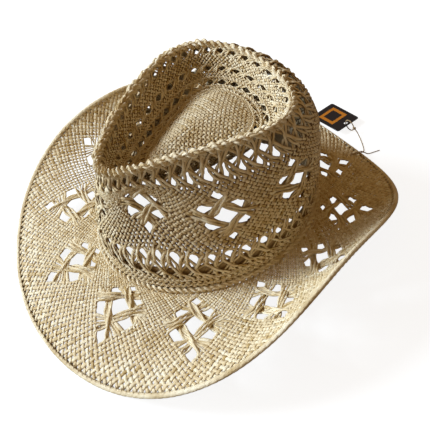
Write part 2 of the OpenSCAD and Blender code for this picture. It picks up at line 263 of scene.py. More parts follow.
def tubes(name, points, material, closed=False, stands_for=(), body="hat", tuck=None):
    """A mesh of tubes from an array of sections: tube, station, corner, xyz, in metres.

    Each section's corners are joined to the next section's. A closed tube's last section meets its
    first, and an open one has a flat cap at each end. The UV map "straw" runs in metres along and
    round each tube, each tube at its own height, and the map OFBake lays the tubes out in rows.
    Each corner also carries painted shade as a point attribute, rising from 0 to about 1 where a strand
    dives under another one or turns its back.
    """
    quads, straw_uv, bake_uv = tube_walls(points, closed)
    inside_out = turned_inside_out(points, quads)
    if inside_out:
        quads, straw_uv, bake_uv = quads[:, ::-1], straw_uv[:, ::-1], bake_uv[:, ::-1]
    loops, straw_uv, bake_uv = quads.reshape(-1), straw_uv.reshape(-1, 2), bake_uv.reshape(-1, 2)
    starts = np.arange(len(quads)) * 4
    if not closed:
        caps, cap_straw_uv, cap_bake_uv = tube_caps(points, inside_out)
        starts = np.concatenate([starts, len(loops) + np.arange(len(caps)) * points.shape[2]])
        loops = np.concatenate([loops, caps.reshape(-1)])
        straw_uv = np.concatenate([straw_uv, cap_straw_uv])
        bake_uv = np.concatenate([bake_uv, cap_bake_uv])
    if tuck is None:
        tuck = np.zeros(points.shape[:3])
    mesh = bpy.data.meshes.new(name)
    mesh.vertices.add(points.size // 3)
    mesh.vertices.foreach_set("co", points.astype(np.float32).ravel())
    mesh.loops.add(len(loops))
    mesh.loops.foreach_set("vertex_index", loops.astype(np.int32))
    mesh.polygons.add(len(starts))
    mesh.polygons.foreach_set("loop_start", starts.astype(np.int32))
    mesh.polygons.foreach_set("use_smooth", np.ones(len(starts), bool))
    for layer_name, uv in (("straw", straw_uv), ("OFBake", bake_uv)):
        layer = mesh.uv_layers.new(name=layer_name, do_init=False)
        layer.uv.foreach_set("vector", uv.astype(np.float32).ravel())
    # painted shade in the weave's crevices, which the straw material multiplies into its colour
    depth = mesh.attributes.new("tuck", "FLOAT", "POINT")
    depth.data.foreach_set("value", tuck.astype(np.float32).ravel())
    mesh.update(calc_edges=True)
    mesh.materials.append(material)
    piece = bpy.data.objects.new(name, mesh)
    bpy.context.scene.collection.objects.link(piece)
    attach(piece, body)
    if stands_for:
        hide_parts(*stands_for)
    return piece


def wander(rng, tube_n, station_n, every):
    """Smooth random values from -1 to 1 along each strand: random knots, eased into each other."""
    knots = rng.uniform(-1, 1, (tube_n, station_n // every + 2))
    at = np.arange(station_n) / every
    k = at.astype(int)
    ease = (at - k) ** 2 * (3 - 2 * (at - k))
    return knots[:, k] * (1 - ease) + knots[:, k + 1] * ease


def frames(line, up):
    """Two unit vectors across each line: to its side, and up from its surface."""
    along = np.gradient(line, axis=1)
    side = unit(np.cross(along, up))
    return side, unit(np.cross(side, along))


STRAND = np.array([(0.5, 0), (0.27, 0.5), (-0.27, 0.5), (-0.5, 0), (-0.27, -0.5), (0.27, -0.5)])
STRAND_SIDE = np.array([0, 1, 1, 0, -1, -1])    # 1 for its upper corners, -1 for its lower ones


def strands(line, up, width, thick):
    """Flat strands: a six-cornered section carried along each line, with the given width and height."""
    side, top = frames(line, up)
    across = STRAND[:, 0, None] * (width[..., None] * side)[..., None, :]
    high = STRAND[:, 1, None] * (thick[..., None] * top)[..., None, :]
    return line[..., None, :] + across + high


def crevice_shade_of(height, share):
    """Painted shade for how deep each corner of a strand lies: its sides, and the face turned to the
    others.

    That is its lower face where it's high, and its upper face where it's low.
    """
    facing = np.clip(height, -1, 1)[..., None] * STRAND_SIDE
    return 0.35 * share[..., None] * (1 - facing) + 0.55 * (STRAND_SIDE == 0)


def round_section(line, side, top, radius, corner_n):
    """A circle of corners round each point of a line, in the plane of side and top."""
    turn = np.arange(corner_n) * TURN / corner_n
    radius = np.broadcast_to(radius, line.shape[:-1])[..., None, None]
    return (line[..., None, :] + radius * (np.cos(turn)[:, None] * side[..., None, :]
                                           + np.sin(turn)[:, None] * top[..., None, :]))


def wound(turn, side, top, radius):
    """How far off a line's middle something lies that is wound round it at that radius."""
    return (np.cos(turn)[:, None] * side + np.sin(turn)[:, None] * top) * radius[:, None]


def plies(line, side, top, radius, turns, corner_n=8):
    """Two plies wound round a line: each one's middle is a helix, and its section is a circle."""
    share = np.linspace(0, 1, len(line), endpoint=False)
    made = []
    for ply in range(2):
        turn = TURN * (turns * share + ply / 2)
        middle = line + wound(turn, side, top, 0.46 * radius)
        made.append(round_section(middle, side, top, 0.60 * radius, corner_n))
    return np.stack(made)


def straw_plies(line, side, top, radius, turns, straw_n=4, corner_n=6):
    """Two plies of several straws each: the straws lie round their ply's helix and wander a little.

    Over its last knot of wandering a straw eases back to where it began, so that the ring closes.
    """
    share = np.linspace(0, 1, len(line), endpoint=False)
    ease_n = 17
    made = []
    for ply in range(2):
        turn = TURN * (turns * share + ply / 2)
        middle = line + wound(turn, side, top, 0.5 * radius)
        for straw in range(straw_n):
            lie = TURN * straw / straw_n - 0.6 * turn
            loose = 1 + 0.30 * wander(rng, 1, len(line), ease_n)[0]
            loose[-ease_n:] = loose[0] + (loose[-ease_n - 1] - loose[0]) * np.linspace(1, 0, ease_n)
            own = middle + wound(lie, side, top, 0.34 * radius * loose)
            made.append(round_section(own, side, top, 0.36 * radius, corner_n))
    return np.stack(made)


# ---- the weave ----
def smooth(x, low, high):
    """0 below low, 1 above high, eased between."""
    share = np.clip((x - low) / (high - low), 0, 1)
    return share * share * (3 - 2 * share)


PAIR_PULL, PAIR_ARCH = 0.30, 1.2                # two strands drawn together, and their wave
ROW_EASE, ROW_ASTRAY, ROW_ARCH = 0.75, 0.25, 0.85   # a row of bunches: its fade, its disorder, its wave
ROW_TWIST = (0.42, 0.24, 0.55)                  # a bunch's turns to a level, and its two half widths
WINDOW_ASTRAY = 0.35
WINDOW_TWIST = (0.30, 0.22, 0.75)
STRAY_SHIFT, STRAY_WIDTH, STRAY_HEIGHT = 0.09, 0.15, 0.12     # how far single strands wander
SLANT = 0.72                                    # a strand's square width to its width along the round


class Lie:
    """How one family's strands lie, for each strand and station, in steps of the lattice.

    The shift moves a strand along the round, and the height is the wave with which it passes over
    and under the others. Where strands are bunched, they are thicker and twist round each other.
    """

    def __init__(self, height):
        self.height = height
        self.shift = np.zeros(height.shape)
        self.bunched = np.zeros(height.shape)
        self.twist_across = np.zeros(height.shape)
        self.twist_up = np.zeros(height.shape)

    def blend(self, share, shift, height):
        """Where the share is 1, the shift and the height given here take over."""
        self.shift = (1 - share) * self.shift + share * shift
        self.height = (1 - share) * self.height + share * height

    def twist(self, share, phase, across, up):
        """Strands turn round their bunch's middle, on an oval with these half widths."""
        self.twist_across += share * across * np.cos(phase)
        self.twist_up += share * up * np.sin(phase)


class Panel:
    """One woven panel: two families of strands that lean left and right across a surface.

    A strand's place round the hat is its number less its level for one family, and plus it for the
    other, so the two cross wherever twice the level is whole. The level rises by one for each
    strand's pitch along the surface, which keeps the lattice square. A panel may start with its
    strands in pairs, and it may have rows of bunches and one row of diamond windows. Each row is its
    level, its pull, its reach in levels and the strands to a bunch. The windows are their middle
    level, half their width in strands, the strands from one to the next, the first one's strand,
    their pull and their arch.
    """

    def __init__(self, surface, strand_n, start, end, level_at=None, warp=None, slide=None):
        self.surface, self.strand_n = surface, strand_n
        self.warp = warp or (lambda turn: turn)
        self.slide = slide or (lambda a, t: t)
        self.fullness = lambda a, t: 1.0
        self.rows, self.windows, self.pairs = [], None, None
        self.t = np.linspace(start, end, 161)
        around = np.linspace(0, TURN, 73)[:-1]
        a, t = np.meshgrid(around, self.t, indexing="ij")
        grid = surface(a, t)
        run = np.concatenate([[0], np.cumsum(np.linalg.norm(np.diff(grid, axis=1), axis=-1).mean(0))])
        if level_at:
            kernel = np.hanning(13) / np.hanning(13).sum()
            level = np.pad(np.interp(run, *level_at), 6, "reflect", reflect_type="odd")
            self.level = np.convolve(level, kernel, "valid")
        else:
            pitch = np.linalg.norm(np.roll(grid, -1, 0) - grid, axis=-1).sum(0) / strand_n
            self.level = np.concatenate([[0], np.cumsum(np.diff(run) / ((pitch[1:] + pitch[:-1]) / 2))])

    def level_of(self, t):
        """The lattice's level at a place of the surface's run."""
        return np.interp(t, self.t, self.level)

    def lay_pairs(self, lie, number, level, amp):
        """Below the level self.pairs, the strands run two by two and cross at half the rate."""
        share = 1 - smooth(level, self.pairs - 1, self.pairs)
        lie.shift += share * PAIR_PULL * (2 * np.floor(number / 2) + 0.5 - number)
        lie.height = (1 - share) * lie.height + share * amp * PAIR_ARCH * np.cos(np.pi * level)
        lie.bunched = np.maximum(lie.bunched, 0.5 * share)

    def lay_row(self, lie, number, level, rng, row, pull, reach_out, bunch):
        """About the level row, strands are pulled together in bunches of that many."""
        off = np.abs(level - row)
        share = 1 - smooth(off, reach_out, reach_out + ROW_EASE)
        group = np.floor(number / bunch)
        astray = ROW_ASTRAY * rng.uniform(-1, 1, self.strand_n)[group.astype(int)]
        centre = bunch * group + (bunch - 1) / 2
        lie.blend(share, pull * (centre - number) + astray, ROW_ARCH * np.cos(TURN * level / bunch))
        lie.bunched = np.maximum(lie.bunched, share * pull / 0.6)
        rate, across, up = ROW_TWIST
        lie.twist(share, TURN * ((number - centre) / bunch + rate * level), across, up)

    def lay_windows(self, lie, number, level, rng, sense):
        """Diamond windows about a middle level: inside, each half of the strands keeps to its side.

        One of them is opened every so many strands, and half of its width is given in strands. Its
        strands are pulled to the middle of their half, and arch over or under the other family's.
        """
        middle, half, every, at, pull, arch = self.windows
        along = number - sense * middle - at + every / 2
        own = along % every - every / 2
        other = own - sense * 2 * (level - middle)
        share = (np.abs(own) < half) * (1 - smooth(np.abs(other), half - 1.7, half + 0.8))
        window = np.floor(along / every).astype(int)
        side = (own > 0).astype(int)
        astray = WINDOW_ASTRAY * rng.uniform(-1, 1, (self.strand_n, 2))[window, side]
        over = np.sign(own) * np.sin(np.pi * np.clip(other / half, -1, 1))
        lie.blend(share, pull * (np.sign(own) * half / 2 - own) + astray, arch * over)
        lie.bunched = np.maximum(lie.bunched, share)
        rate, across, up = WINDOW_TWIST
        lie.twist(share, TURN * (own / half * 1.5 + rate * level), across, up)

    def room_for(self, a, t, turn):
        """The space that each strand has between its neighbours, square across its slant, in mm."""
        gap = np.roll(turn, -1, 0) - turn
        gap[-1] += self.strand_n
        gap = np.minimum(gap, np.roll(gap, 1, 0))
        arc = np.linalg.norm(self.surface(a + 0.01, t) - self.surface(a - 0.01, t), axis=-1) / 0.02
        return arc * TURN / self.strand_n * gap * SLANT

    def family(self, lean, rng, step_n, amp, width_range, fill):
        """The lines, normals, widths and heights of one family's strands, and their painted shade."""
        number = np.arange(self.strand_n)[:, None].astype(float)
        level = np.arange(self.level[0], self.level[-1], 0.5 / step_n)[None, :]
        number, level = np.broadcast_arrays(number, level)
        sense = 1 if lean == "right" else -1
        lie = Lie(amp * np.cos(TURN * level))
        if self.pairs:
            self.lay_pairs(lie, number, level, amp)
        for row in self.rows:
            self.lay_row(lie, number, level, rng, *row)
        if self.windows:
            self.lay_windows(lie, number, level, rng, sense)
        height = sense * lie.height + lie.twist_up
        shift = lie.shift + STRAY_SHIFT * wander(rng, *number.shape, 4 * step_n) + lie.twist_across
        turn = number - sense * level + shift
        a = self.warp(TURN * turn / self.strand_n)
        t = self.slide(a, np.interp(level, self.level, self.t))
        up = upward(self.surface, a, t)
        width = np.clip(self.room_for(a, t, turn) * fill, *width_range)
        width *= 1 + STRAY_WIDTH * wander(rng, *number.shape, step_n * 2)
        width *= self.fullness(a, t)
        thick = 0.50 + 0.24 * width + 0.25 * lie.bunched
        off_ground = height + STRAY_HEIGHT * wander(rng, *number.shape, step_n * 2)
        line = self.surface(a, t) + off_ground[..., None] * up
        # the last value is painted shade for the crevices between strands
        return line, up, width, thick, crevice_shade_of(height / amp, 1 - 0.75 * np.clip(lie.bunched, 0, 1))


# ---- camera: it aims at the middle of the crown's foot ----
AIM = STAND_AT * MM
CAMERA_AZIMUTH, CAMERA_ELEVATION, CAMERA_ROLL = 62.42, 48.38, -12.16
CAMERA_DISTANCE, CAMERA_LENS, CAMERA_SHIFT = 0.65, 61.65, (0.0127, -0.0164)


def make_camera():
    """The camera, turned to the aim and then rolled about its own axis."""
    az, el, roll = np.radians((CAMERA_AZIMUTH, CAMERA_ELEVATION, CAMERA_ROLL))
    back = np.array([np.sin(az) * np.cos(el), -np.cos(az) * np.cos(el), np.sin(el)])
    level_right = np.array([np.cos(az), np.sin(az), 0])
    level_up = np.cross(back, level_right)
    right = np.cos(roll) * level_right + np.sin(roll) * level_up
    data = bpy.data.cameras.new("camera")
    data.lens = CAMERA_LENS
    data.shift_x, data.shift_y = CAMERA_SHIFT
    camera = bpy.data.objects.new("camera", data)
    bpy.context.scene.collection.objects.link(camera)
    turn = Matrix(np.stack([right, np.cross(back, right), back], 1).tolist()).to_4x4()
    camera.matrix_world = Matrix.Translation(AIM + back * CAMERA_DISTANCE) @ turn
    bpy.context.scene.camera = camera


make_camera()


# ---- materials ----
def new_material(name):
    """A new material, its node tree and its surface shader."""
    material = bpy.data.materials.new(name)
    material.use_nodes = True
    tree = material.node_tree
    return material, tree, tree.nodes["Principled BSDF"]


def add(tree, kind, links=(), **values):
    """A node of that kind, with its links from other nodes' outputs and its given values set."""
    node = tree.nodes.new(kind)
    for key, value in values.items():
        if hasattr(node, key):
            setattr(node, key, value)
        else:
            node.inputs[key.replace("_", " ")].default_value = value
    for socket, source in links:
        tree.links.new(source, node.inputs[socket])
    return node


def stretched(tree, uv, along, across):
    """A strand's map drawn out, so that a pattern repeats that often per metre along and across."""
    return add(tree, "ShaderNodeMapping", [("Vector", uv)], Scale=(along, across, 1)).outputs[0]


def ramp(tree, factor, *stops):
    """A colour from a factor, by stops of a place from 0 to 1 and a colour."""
    node = add(tree, "ShaderNodeValToRGB", [("Fac", factor)])
    while len(node.color_ramp.elements) < len(stops):
        node.color_ramp.elements.new(0.5)
    for element, (place, colour) in zip(node.color_ramp.elements, stops):
        element.position = place
        element.color = (*colour, 1)
    return node.outputs["Color"]


def colour_mix(tree, blend_type, factor, first, second):
    """Two colours mixed by a factor, each of the three another node's output; no factor means 1."""
    node = add(tree, "ShaderNodeMix", data_type="RGBA", blend_type=blend_type)
    node.inputs["Factor"].default_value = 1.0
    if factor:
        tree.links.new(factor, node.inputs["Factor"])
    colours = [socket for socket in node.inputs if socket.type == "RGBA"]
    tree.links.new(first, colours[0])
    tree.links.new(second, colours[1])
    return next(socket for socket in node.outputs if socket.type == "RGBA")


def multiply_add(tree, value, times, plus):
    """An output times a number, plus another output."""
    node = add(tree, "ShaderNodeMath", [(0, value), (2, plus)], operation="MULTIPLY_ADD")
    node.inputs[1].default_value = times
    return node.outputs[0]


def straw_material(name, dull, plain, bright, fibre=1.0):
    """Twisted paper straw: a tone for each strand that drifts along it, fine fibres and creases.

    Painted shade: where a strand lies deep among the others, its colour is multiplied by a deep brown.
    """
    material, tree, surface = new_material(name)
    uv = add(tree, "ShaderNodeUVMap", uv_map="straw").outputs["UV"]
    tone = add(tree, "ShaderNodeTexNoise", [("Vector", stretched(tree, uv, 22, 50))],
               noise_dimensions="2D", Scale=1.0, Detail=2.0).outputs["Fac"]
    streak = add(tree, "ShaderNodeTexNoise", [("Vector", stretched(tree, uv, 90, 2600))],
                 noise_dimensions="2D", Scale=1.0, Detail=3.0).outputs["Fac"]
    crease = add(tree, "ShaderNodeTexNoise", [("Vector", stretched(tree, uv, 420, 700))],
                 noise_dimensions="2D", Scale=1.0, Detail=2.0).outputs["Fac"]
    both = multiply_add(tree, streak, 0.45, tone)
    colour = ramp(tree, both, (0.52, dull), (0.72, plain), (0.92, bright))
    # painted shade: a deep brown multiplied into the straw where strands lie deep or at their sides
    tuck = add(tree, "ShaderNodeAttribute", attribute_name="tuck").outputs["Fac"]
    shade = ramp(tree, tuck, (0.30, (1, 1, 1)), (1.0, (0.24, 0.14, 0.05)))
    tree.links.new(colour_mix(tree, "MULTIPLY", None, colour, shade), surface.inputs["Base Color"])
    surface.inputs["Roughness"].default_value = 0.62
    surface.inputs["Specular IOR Level"].default_value = 0.35
    fine = add(tree, "ShaderNodeBump", [("Height", streak)], Strength=0.7 * fibre, Distance=0.0004)
    coarse = add(tree, "ShaderNodeBump", [("Height", crease), ("Normal", fine.outputs[0])],
                 Strength=0.8 * fibre, Distance=0.0008)
    tree.links.new(coarse.outputs[0], surface.inputs["Normal"])
    return material


def ribbed_material(name, dark, light, rib_pitch, roughness):
    """Woven tape: ribs across its length and a fine grain between them."""
    material, tree, surface = new_material(name)
    uv = add(tree, "ShaderNodeUVMap", uv_map="straw").outputs["UV"]
    wave = add(tree, "ShaderNodeTexWave", [("Vector", uv)], bands_direction="X",
               Scale=TURN / 20 / rib_pitch, Distortion=0.4).outputs["Fac"]
    grain = add(tree, "ShaderNodeTexNoise", [("Vector", uv)], noise_dimensions="2D",
                Scale=2200.0, Detail=2.0).outputs["Fac"]
    both = multiply_add(tree, grain, 0.5, wave)
    tree.links.new(ramp(tree, both, (0.15, dark), (1.0, light)), surface.inputs["Base Color"])
    surface.inputs["Roughness"].default_value = roughness
    bump = add(tree, "ShaderNodeBump", [("Height", both)], Strength=0.6, Distance=0.0003)
    tree.links.new(bump.outputs[0], surface.inputs["Normal"])
    return material


def wire_material():
    """Drawn steel: fine lines along the wire."""
    material, tree, surface = new_material("drawn steel")
    place = add(tree, "ShaderNodeTexCoord").outputs["Object"]
    grain = add(tree, "ShaderNodeTexNoise", [("Vector", place)], Scale=900.0, Detail=3.0).outputs["Fac"]
    tree.links.new(ramp(tree, grain, (0.3, (0.30, 0.30, 0.30)), (0.7, (0.52, 0.52, 0.52))),
                   surface.inputs["Base Color"])
    surface.inputs["Metallic"].default_value = 1.0
    surface.inputs["Roughness"].default_value = 0.38
    bump = add(tree, "ShaderNodeBump", [("Height", grain)], Strength=0.2, Distance=0.0001)
    tree.links.new(bump.outputs[0], surface.inputs["Normal"])
    return material


STRAW = straw_material("natural straw", (0.50, 0.34, 0.13), (0.77, 0.62, 0.38), (0.89, 0.79, 0.57))
CORD_STRAW = straw_material("two-ply straw", (0.52, 0.36, 0.15), (0.79, 0.65, 0.42), (0.90, 0.80, 0.60))
HEM_STRAW = straw_material("edge straw", (0.50, 0.35, 0.15), (0.77, 0.63, 0.40), (0.89, 0.79, 0.58), 0.8)
STRING = straw_material("tag string", (0.38, 0.26, 0.13), (0.52, 0.38, 0.22), (0.60, 0.47, 0.30))
THREAD = straw_material("sewing thread", (0.42, 0.31, 0.16), (0.55, 0.44, 0.28), (0.63, 0.52, 0.36))
LINING = ribbed_material("sweatband tape", (0.26, 0.16, 0.07), (0.42, 0.29, 0.14), 0.0012, 0.8)
LABEL = ribbed_material("label weave", (0.004, 0.006, 0.030), (0.012, 0.018, 0.085), 0.0006, 0.6)
STEEL = wire_material()

rng = np.random.default_rng(11)    # the one source of every random draw


# ---- swing tag's string, laid behind the hat ----
def bow(route, part_n):
    """A smooth line through the route's points: Catmull-Rom, with part_n steps in each gap."""
    v = np.array(route, float)
    ends = np.concatenate([v[:1], v, v[-1:]])
    p, q, r, s = ends[:-3, None], ends[1:-2, None], ends[2:-1, None], ends[3:, None]
    t = np.linspace(0, 1, part_n, endpoint=False)[None, :, None]
    line = 0.5 * (2 * q + (r - p) * t + (2 * p - 5 * q + 4 * r - s) * t ** 2
                  + (3 * q - p - 3 * r + s) * t ** 3)
    return np.concatenate([line.reshape(-1, 3), v[-1:]])


def length_of(line):
    """How long a line is."""
    return float(np.linalg.norm(np.diff(line, axis=0), axis=1).sum())


def laid_string(name, route, stands_for):
    """Two-ply string along a route: one turn of its plies in each 2.6 mm."""
    line = bow(route, 12)
    along = np.gradient(line, axis=0)
    side = unit(np.cross(unit(along), np.array([0.2, 0.1, 1.0])))
    top = unit(np.cross(side, along))
    made = plies(line, side, top, np.full(len(line), 0.92 * STRING_R), length_of(line) / 2.6)
    return tubes(name, made * MM, STRING, stands_for=stands_for), line * MM


def knot(name, at, stands_for):
    """A trefoil of string drawn tight: the knot's line goes twice round and three times through."""
    turn = np.linspace(0, TURN, 72, endpoint=False)
    line = point(np.sin(turn) + 2 * np.sin(2 * turn), np.cos(turn) - 2 * np.cos(2 * turn),
                 -1.6 * np.sin(3 * turn)) * 0.30 * KNOT_R
    along = unit(np.roll(line, -1, 0) - np.roll(line, 1, 0))
    top = unit(line - (line * along).sum(-1, keepdims=True) * along + 1e-6)
    made = round_section(line + at, np.cross(along, top), top, 0.36 * KNOT_R, 8)[None]
    return tubes(name, made * MM, STRING, closed=True, stands_for=stands_for)


def string_loop():
    """The string's loop through the card's hole: two plies round an upright circle."""
    turn = np.linspace(0, TURN, 168, endpoint=False)
    line = LOOP_AT + LOOP_R * point(np.cos(turn), 0 * turn, np.sin(turn))
    outer = unit(line - LOOP_AT)
    sideways = np.broadcast_to(np.array([0, 1.0, 0]), line.shape)
    made = plies(line, outer, sideways, np.full(len(line), STRING_R), 14)
    return tubes("tag_string_loop", made * MM, STRING, closed=True, stands_for=["tag_loop"])


CARD_CORNER_R, CARD_BEVEL = 2.2, 0.15
PRINT_X = -TAG_INSET - TAG_L / 2 - 3     # the printed square's middle along the card
PRINT_OUTER, PRINT_INNER = 10.0, 6.6     # and halves of its outer and inner sides


def card_outline(corner_r, side_n=8):
    """The card's outline about its hole: four straight edges and four round corners."""
    low = np.array([-TAG_INSET - TAG_L + LOOP_R, -TAG_W / 2])
    high = np.array([-TAG_INSET + LOOP_R, TAG_W / 2])
    corners = [(high[0], high[1], 0), (low[0], high[1], 90), (low[0], low[1], 180), (high[0], low[1], 270)]
    points = []
    for x, y, start in corners:
        turn = np.radians(start + np.linspace(0, 90, 7))
        middle = np.array([x, y]) - corner_r * np.sign(np.array([x, y]) - (low + high) / 2)
        points.append(middle + corner_r * np.stack([np.cos(turn), np.sin(turn)], -1))
    loop = np.concatenate(points)
    ahead = np.roll(loop, -1, 0)
    share = np.linspace(0, 1, side_n, endpoint=False)[:, None]
    straight = np.linalg.norm(ahead - loop, axis=1) > 2
    filled = [p + (q - p) * share if edge else p[None] for p, q, edge in zip(loop, ahead, straight)]
    return np.concatenate(filled)


def swing_tag():
    """The card: at each place of its outline, a section from the hole's edge out to the card's.

    It is made about its hole, lying flat, then tipped about the loop so that its far end rests on
    the ground.
    """
    outline = card_outline(CARD_CORNER_R)
    heading = unit(outline)
    hole = heading * TAG_HOLE_R
    bevel, half = CARD_BEVEL, TAG_T / 2
    section = [(0.0, half), (0.3, half), (0.65, half), (1.0, half), (1.0, half - bevel),
               (1.0, bevel - half), (1.0, -half), (0.65, -half), (0.3, -half), (0.0, -half), (0.0, 0.0)]
    rows = []
    for share, height in section:
        flat = hole + (outline - hole) * share
        if share == 1.0 and abs(height) == half:
            flat = outline - heading * bevel
        rows.append(np.concatenate([flat, np.full((len(flat), 1), height)], 1))
    made = np.stack(rows, 1)
    made[..., 0] -= LOOP_R
    tip_down = np.arcsin((LOOP_AT[2] - TAG_T) / (TAG_INSET + TAG_L))
    c, n = np.cos(tip_down), np.sin(tip_down)
    laid = point(made[..., 0] * c - made[..., 2] * n, made[..., 1], made[..., 0] * n + made[..., 2] * c)
    piece = tubes("swing_tag_card", (laid + LOOP_AT)[None] * MM, tag_material(), closed=True,
                  stands_for=["hang_tag"], body="tag")
    flat_uv = piece.data.uv_layers.new(name="card", do_init=False)
    corner = np.empty(len(piece.data.loops), np.int32)
    piece.data.loops.foreach_get("vertex_index", corner)
    flat_uv.uv.foreach_set("vector", made[..., :2].reshape(-1, 2)[corner].astype(np.float32).ravel())
    piece.data.polygons.foreach_set("use_smooth", np.zeros(len(piece.data.polygons), bool))
    return piece


def tag_material():
    """Dark coated board with an orange square outline, on the card's own map in millimetres."""
    material, tree, surface = new_material("printed board")
    uv = add(tree, "ShaderNodeUVMap", uv_map="card").outputs["UV"]
    parts = add(tree, "ShaderNodeSeparateXYZ", [("Vector", uv)])
    x, y = parts.outputs["X"], parts.outputs["Y"]

    def worked(operation, a, b):
        node = add(tree, "ShaderNodeMath", [(0, a)], operation=operation)
        if isinstance(b, (int, float)):
            node.inputs[1].default_value = b
        else:
            tree.links.new(b, node.inputs[1])
        return node.outputs[0]

    def inside(value, middle, half):
        off = worked("SUBTRACT", value, middle)
        size = add(tree, "ShaderNodeMath", [(0, off)], operation="ABSOLUTE").outputs[0]
        return worked("LESS_THAN", size, half)

    def square(half):
        return worked("MULTIPLY", inside(x, PRINT_X, half), inside(y, 0, half))

    printed = worked("SUBTRACT", square(PRINT_OUTER), square(PRINT_INNER))
    grain = add(tree, "ShaderNodeTexNoise", [("Vector", uv)], noise_dimensions="2D", Scale=3.0,
                Detail=4.0).outputs["Fac"]
    board = ramp(tree, grain, (0.3, (0.006, 0.006, 0.009)), (0.8, (0.014, 0.014, 0.020)))
    ink = ramp(tree, grain, (0.3, (0.42, 0.13, 0.012)), (0.8, (0.55, 0.20, 0.020)))
    tree.links.new(colour_mix(tree, "MIX", printed, board, ink), surface.inputs["Base Color"])
    surface.inputs["Roughness"].default_value = 0.32
    bump = add(tree, "ShaderNodeBump", [("Height", grain)], Strength=0.1, Distance=0.0001)
    tree.links.new(bump.outputs[0], surface.inputs["Normal"])
    return material


def make_tag():
    """The card and its string: the loop, the two knots and the two laid lengths."""
    swing_tag()
    loop = string_loop()
    tied = knot("tag_string_knot", LOOP_AT + (LOOP_R + 0.6, 0, 0), ["tag_knot"])
    stop = knot("brim_stop_knot", np.array(STRING_ROUTE[0], float), ["stop_knot"])
    string, line = laid_string("tag_string_cord", STRING_ROUTE, ["tag_string"])
    tail, tail_line = laid_string("tag_string_end", TAIL_ROUTE, ["tag_string_tail"])


make_tag()


# ---- woven panels ----
def weave(panel, name, node, group_n, amp, width_range, fill, depth, step_n=3):
    """Both families of a panel's strands, each in group_n pieces.

    Their waves are amp high, their widths fill that share of their room within width_range, and
    depth is how strongly the painted shade darkens a strand where it lies deep.
    """
    for lean in ("right", "left"):
        line, up, width, thick, tuck = panel.family(lean, rng, step_n, amp, width_range, fill)
        made = set_down(strands(line, up, width, thick))
        # each piece carries its share of the painted crevice shade
        shares = zip(np.array_split(made, group_n), np.array_split(depth * tuck, group_n))
        for k, (share, deep) in enumerate(shares):
            tubes(f"{name}_{lean}_{k + 1}", share, STRAW, stands_for=[node], tuck=deep)


def wall_panel():
    """The wall's weave: two rows of bunches at the foot, windows half way up, two rows at the rim."""
    def slide(a, t):
        """The windows lie higher in front, and most at the pinches."""
        lift = 0.16 * np.clip(np.cos(a), 0, 1) ** 2 + 0.12 * bell(off_front(a), 34, 18)
        return t + lift * bell(t, 0.5, 0.25)

    panel = Panel(wall, 126, 0, 1, slide=slide,
                  level_at=([0, 20, 32, 45, 67, 89, 100, 112, 122],
                            [-1, 3, 4.5, 7, 13, 19, 21, 22.5, 23.7]))
    panel.rows = [(3, 0.58, 0.4, 3), (4.5, 0.62, 0.4, 3), (21, 0.54, 0.35, 3), (22.5, 0.64, 0.4, 3)]
    panel.windows = (13, 6, 14, 12.5, 0.74, 1.0)
    return panel


def brim_panel():
    """The brim's weave: strands in pairs at the crown, then one round of windows."""
    def warp(turn):
        """The windows aren't spaced evenly: they lie closer together in some quarters."""
        return turn + np.radians(2.5 * np.sin(turn) + 3.7 * np.sin(2 * turn))

    def slide(a, s):
        """And they lie nearer the crown in front and behind than at the ears."""
        return s - (0.05 + 0.08 * np.cos(2 * a)) * 4 * s * (1 - s)

    def fullness(a, s):
        """The weave is looser at both ears near the crown, and over most of the right ear."""
        ears = 0.24 * np.abs(np.sin(a)) ** 3 * bell(s, 0.30, 0.25)
        angle = np.degrees(np.arctan2(np.sin(a), np.cos(a)))
        return 1 - ears - 0.50 * bell(angle, -72, 20) * bell(s, 0.56, 0.26)

    panel = Panel(brim, 204, 0, 0.992, warp=warp, slide=slide)
    panel.pairs = 2.5
    panel.windows = (10, 7, 17, 9.5, 0.67, 1.0)
    panel.fullness = fullness
    return panel


def tip_panel():
    """The top's weave, as far as the dome's edge: rows of bunches at the ridge and beside the rings."""
    panel = Panel(tip, 120, 0, 0.69)

    def row_at(t):
        """The even level nearest to that place, where the strands of a bunch cross."""
        return 2 * round(panel.level_of(t) / 2)

    panel.rows = [(1.5, 0.66, 0.5, 3), (row_at(0.27), 0.55, 0.5, 4), (row_at(0.43), 0.78, 0.9, 4),
                  (row_at(0.56), 0.78, 0.9, 4)]
    return panel


weave(wall_panel(), "crown_wall_straw", "crown_wall", group_n=2,
      amp=1.05, width_range=(2.5, 3.2), fill=0.95, depth=1.5)
weave(brim_panel(), "brim_straw", "brim", group_n=2,
      amp=0.55, width_range=(2.0, 3.3), fill=0.94, depth=0.6)
weave(tip_panel(), "crown_tip_straw", "crown_tip", group_n=1,
      amp=0.85, width_range=(1.5, 2.8), fill=0.82, depth=1.5)


DOME_PITCH, DOME_EDGE = 2.25, 0.20              # between its strands, and how far in from the groove
DOME_REACH_X, DOME_REACH_Y = 38, 62             # it is cut from a piece that reaches this far
DOME_STRAND_W, DOME_STRAND_T, DOME_WAVE = 1.95, 0.85, 0.42


